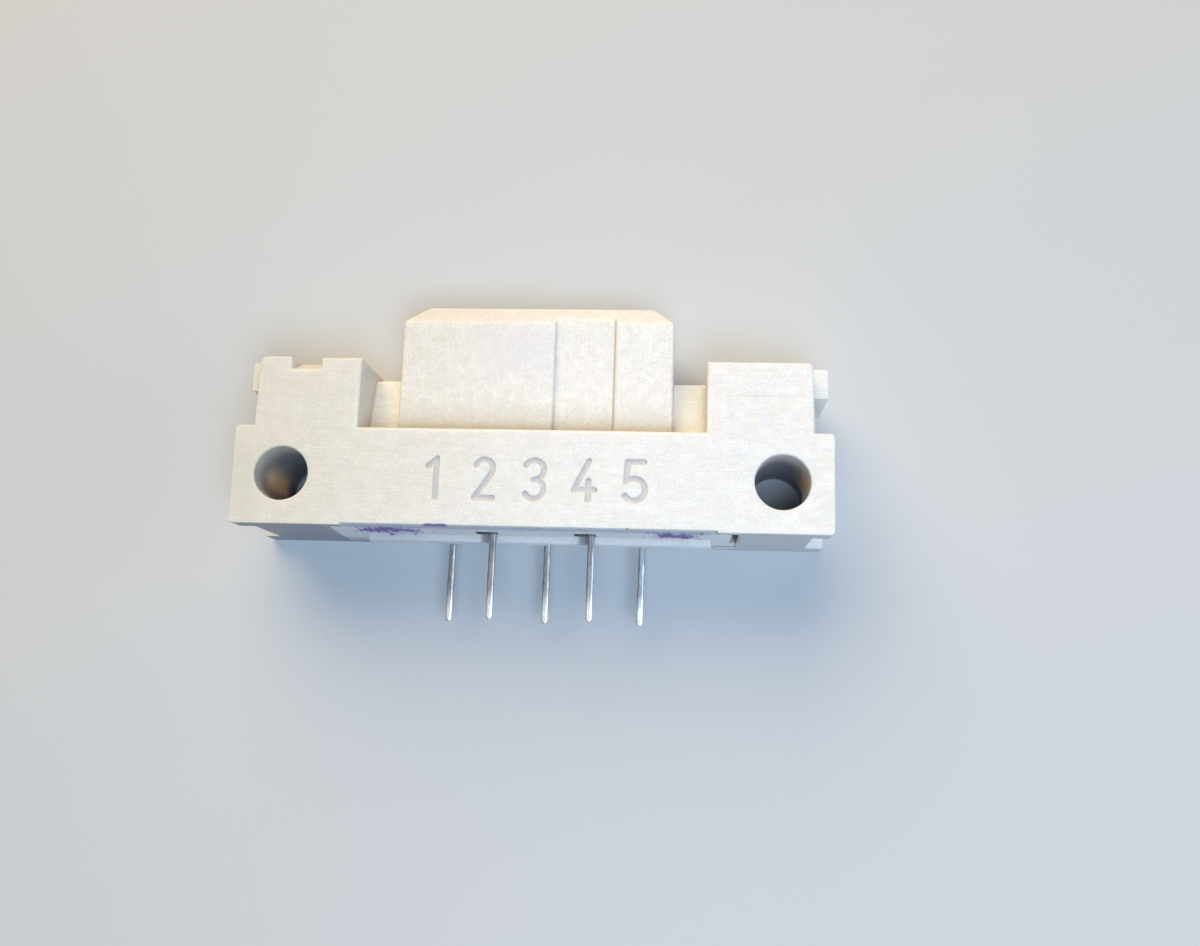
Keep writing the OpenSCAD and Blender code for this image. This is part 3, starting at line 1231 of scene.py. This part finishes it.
@dataclass(frozen=True)
class PictureCamera:
    """Camera at the picture's viewing angle, in the part's frame."""

    place_mm: Triple = (7.963, -10.642, 64.311)
    forward: Triple = (-0.0748, 0.1858, -0.9797)
    up: Triple = (-0.0184, 0.9821, 0.1876)
    focal_px: float = 1195.5
    picture_w_px: float = 1200.0
    sensor_mm: float = 36.0
    near_mm: float = 1.0

    def build(self) -> Object:
        """Sets up the scene's camera.

        Returns:
            The camera.
        """
        pick()
        bpy.ops.object.camera_add(location=millimetres(*self.place_mm))
        camera = bpy.context.object
        ahead = Vector(self.forward).normalized()
        right = ahead.cross(Vector(self.up)).normalized()
        over = right.cross(ahead)
        camera.rotation_euler = Matrix((right, over, -ahead)).transposed().to_euler()
        camera.data.sensor_fit = "HORIZONTAL"
        camera.data.sensor_width = self.sensor_mm
        camera.data.lens = self.focal_px / self.picture_w_px * self.sensor_mm
        camera.data.clip_start = self.near_mm * MM
        bpy.context.scene.camera = camera
        return camera


INK = paint(104, 56, 156)
FADED_INK = paint(196, 186, 222)
DARK_BROWN = paint(122, 96, 72)
CRISP: Triple = (0.05, 0.05, 0.05)
HAZY: Triple = (0.5, 0.5, 0.5)
DEEP_STREAKS: Triple = (1.0, 1.0, 0.3)

EDGE_INK = Stain((Patch((-4.6, -2.45, 6.35), (0.65, 0.06, 0.4), 0.9, 0.4),), INK, 0.8)
# Brown marks on the housing wall: a smudge at the front edge's step, specks, and darker brown at the
# pocket's right end.
WALL_BROWN_MARKS = Stain(
    (
        Patch((4.98, -2.45, 6.62), (0.1, 0.05, 0.25), 0.6, 0.2, (0.6, 0.6, 0.6)),
        Patch((9.35, -2.5, 6.2), (0.1, 0.12, 0.4), 0.6, 0.2),
        Patch((10.4, -2.4, 4.4), (0.12, 0.4, 1.3), 0.5, 0.3),
    ),
    DARK_BROWN, 0.6,
)
BORE_SHADE = Stain(
    (
        Patch((-12.5, 0.0, 2.6), (1.45, 1.45, 4.0), 0.0, 1.0, (0.02, 0.02, 0.6)),
        Patch((12.5, 0.0, 2.6), (1.45, 1.45, 4.0), 0.0, 1.0, (0.02, 0.02, 0.6)),
    ),
    paint(80, 90, 112), 0.75,
)
WALL_GLOW = Stain(
    (
        Patch((-13.4, 0.0, 3.0), (0.55, 1.1, 2.6), 0.2, 1.0, (0.1, 0.9, 0.6)),
        Patch((13.4, 0.25, 3.6), (0.55, 1.0, 2.2), 0.2, 1.0, (0.1, 0.9, 0.5)),
    ),
    paint(255, 228, 186), 1.0,
)
RIGHT_GLOW = Stain(
    (Patch((13.45, -0.1, 3.3), (0.5, 0.5, 2.0), 0.2, 1.0, (0.1, 0.8, 0.5)),), paint(252, 252, 254), 1.0,
)
NUMBER_SHADE = Stain(
    (Patch((0.3, -0.1, 6.55), (6.8, 1.3, 0.12), 0.0, 1.0, (0.05, 0.05, 0.5)),), paint(186, 179, 183), 0.45,
)
# Painted shade at the foot of the tongue, where it meets the flange's top.
TONGUE_FOOT_SHADE = Stain(
    (Patch((0.0, 2.45, 4.6), (7.1, 2.2, 1.4), 0.15, 0.4, (0.01, 0.98, 0.1)),), paint(172, 162, 138), 0.48,
)
TONGUE_TINT = Stain(
    (Patch((-0.8, 6.9, 5.35), (3.6, 2.1, 0.1), 0.5, 1.5, (0.9, 0.9, 0.2)),), paint(224, 222, 236), 0.35,
)
# Painted shade: a thin dark line on the groove floor along its right wall.
GROOVE_SHADE_LINE = Stain(
    (Patch((4.0, 6.0, 5.05), (0.06, 3.55, 0.05), 0.0, 1.0, (0.5, 0.05, 0.3)),), paint(170, 155, 146), 0.6,
)
TOWER_LINE = Stain(
    (Patch((11.4, 4.3, 6.7), (2.4, 0.06, 0.1), 0.6, 0.6, (0.6, 0.8, 0.2)),), paint(206, 204, 202), 0.3,
)
LEFT_EAR = Stain(
    (Patch((-14.6, -0.4, 6.7), (1.8, 2.8, 0.1), 0.1, 1.0, (0.9, 0.7, 0.2)),), paint(205, 201, 190), 0.35,
)
# Painted light: the webs beside the tongue are lightened against the painted corner shade.
WEB_PAINTED_LIGHT = Stain(
    (
        Patch((-7.87, 4.1, 3.35), (0.82, 1.75, 2.7), 0.0, 1.0, CRISP),
        Patch((7.87, 4.1, 3.35), (0.82, 1.75, 2.7), 0.0, 1.0, CRISP),
    ),
    paint(255, 250, 236), 0.4,
)
WEB_SHADE = Stain(
    (Patch((8.75, 4.0, 3.9), (0.35, 1.7, 1.2), 0.1, 1.0, (0.9, 0.2, 0.1)),), paint(168, 158, 142), 0.3,
)
# Painted shade on the underside of the ears, stronger on the left.
LEFT_UNDERSIDE_SHADE = Stain(
    (Patch((-12.4, -2.55, 3.35), (3.1, 0.04, 3.3), 0.05, 0.5, CRISP),), paint(122, 131, 148), 0.85,
)
RIGHT_UNDERSIDE_SHADE = Stain(
    (Patch((12.4, -2.55, 3.35), (3.1, 0.04, 3.3), 0.05, 0.5, CRISP),), paint(176, 180, 188), 0.45,
)
# Painted shade on the pocket walls near the mouth, in the gap around the base.
POCKET_GAP_SHADE = Stain(
    (Patch((0.0, -2.2, 3.35), (10.6, 0.3, 2.85), 0.0, 1.0, CRISP),), paint(120, 118, 130), 0.5,
)

INK_WASH = Stain(
    (
        Patch((-7.2, -2.55, 5.3), (1.5, 0.06, 1.2), 0.9, 0.5),
        Patch((7.3, -2.55, 5.2), (1.15, 0.06, 0.9), 0.9, 0.5),
    ),
    FADED_INK, 0.7,
)
INK_STROKES = Stain(
    (
        Patch((-7.2, -2.55, 5.45), (1.4, 0.06, 1.2), 5.5, 0.42, HAZY, DEEP_STREAKS),
        Patch((7.3, -2.55, 5.25), (1.05, 0.06, 0.85), 5.5, 0.42, HAZY, DEEP_STREAKS),
    ),
    INK, 0.95,
)
# Painted shade on the base's front step, along the joint under the housing wall.
JOINT_STEP_SHADE = Stain((Patch((0.0, -2.5, 5.95), (10.5, 0.07, 0.07), 0.2, 0.6),), paint(150, 149, 164), 0.7)
# Painted shade: the inside of the near contacts' slots is made near black.
SLIT_SHADE = Stain(
    (
        Patch((-2.25, -2.2, 4.69), (0.56, 0.4, 0.46), 0.0, 1.0, CRISP),
        Patch((2.75, -2.2, 4.69), (0.56, 0.4, 0.46), 0.0, 1.0, CRISP),
    ),
    paint(14, 12, 16), 1.0,
)
# Painted shadow of the near tails on the base, beside and below their slots.
TAIL_SHADOW = Stain(
    (
        Patch((-2.35, -2.7, 4.0), (0.42, 0.3, 0.65), 0.7, 0.25, (0.6, 0.2, 0.5)),
        Patch((2.65, -2.7, 4.0), (0.42, 0.3, 0.65), 0.7, 0.25, (0.6, 0.2, 0.5)),
    ),
    paint(112, 104, 106), 0.65,
)
# Darker brown on the base at the pocket's right end.
POCKET_END_BROWN = Stain((Patch((10.2, -2.4, 4.2), (0.16, 0.4, 1.3), 0.6, 0.3),), DARK_BROWN, 0.7)

HOUSING_FINISH = MouldedPlastic(
    title="housing_cream",
    body=paint(243, 241, 240), shade=paint(237, 235, 232),
    speck=paint(250, 249, 246), edge=paint(254, 252, 246), corner=paint(236, 230, 218),
    painted_falloff=paint(236, 232, 222), painted_falloff_x_mm=(-16.0, 6.0), edge_share=0.7, cloud_mm=0.5,
    upright=(Patch((0.0, 6.0, 3.5), (7.05, 3.6, 2.2), 0.02, 1.0),), milky=0.6,
    lined=(
        Patch((-7.9, 4.1, 2.4), (0.85, 1.7, 2.6), 0.02, 1.0),
        Patch((7.9, 4.1, 2.4), (0.85, 1.7, 2.6), 0.02, 1.0),
    ),
    stains=(
        EDGE_INK, WALL_BROWN_MARKS, BORE_SHADE, WALL_GLOW, RIGHT_GLOW, NUMBER_SHADE, TONGUE_FOOT_SHADE, TONGUE_TINT,
        GROOVE_SHADE_LINE, TOWER_LINE, LEFT_EAR, WEB_PAINTED_LIGHT, WEB_SHADE, LEFT_UNDERSIDE_SHADE, RIGHT_UNDERSIDE_SHADE, POCKET_GAP_SHADE,
    ),
)

BASE_FINISH = MouldedPlastic(
    title="base_grey", body=paint(250, 250, 251), shade=paint(243, 244, 246),
    speck=paint(252, 252, 252), edge=paint(250, 250, 250), corner=paint(214, 204, 190),
    painted_falloff=paint(228, 230, 234), painted_falloff_x_mm=(-16.0, 8.0), edge_share=0.2,
    stains=(INK_WASH, INK_STROKES, JOINT_STEP_SHADE, SLIT_SHADE, TAIL_SHADOW, POCKET_END_BROWN),
)

CONTACT_FINISH = TinnedMetal(
    title="tinned_bronze", bright=paint(206, 204, 206), dull=paint(150, 149, 156),
    warm=paint(192, 180, 166), tip=paint(246, 245, 243),
)

STUDIO = Studio(
    lamps=(
        SoftLamp("window_lamp", (-75.0, 200.0, 190.0), 260.0, 0.86, (1.0, 0.8, 0.53)),
        SoftLamp("front_lamp", (30.0, -50.0, 140.0), 70.0, 0.15, (0.6, 0.78, 1.0)),
        SoftLamp("side_lamp", (150.0, -10.0, 60.0), 90.0, 0.042, (0.6, 0.78, 1.0)),
    ),
    floor_finish=FloorPaint("pale_floor", paint(205, 207, 210)),
    sky=(0.76, 0.88, 1.0), sky_level=0.12,
)

TAIL_LEANS: dict[int, float] = {1: -1.1, 2: -0.5, 3: -0.3, 4: -0.1, 5: -1.2}


def main() -> None:
    """Builds the camera, the studio and the pieces in order."""
    logging.basicConfig(level=logging.INFO, format="%(name)s: %(message)s")
    bpy.context.scene.view_settings.view_transform = "Standard"
    PictureCamera().build()
    STUDIO.build()
    builders: list[CadPiece] = [
        Housing("housing", Slot.HOUSING, HOUSING_FINISH),
        ContactBase("contact_base", Slot.BASE, BASE_FINISH),
    ]
    for number, lean in TAIL_LEANS.items():
        builders.append(Contact(f"contact_{number}", Slot.CONTACT, CONTACT_FINISH, lean_deg=lean))
    for builder in builders:
        piece = builder.build()
        log.info("%s: %d faces", piece.name, len(piece.data.polygons))


if __name__ == "__main__":
    main()
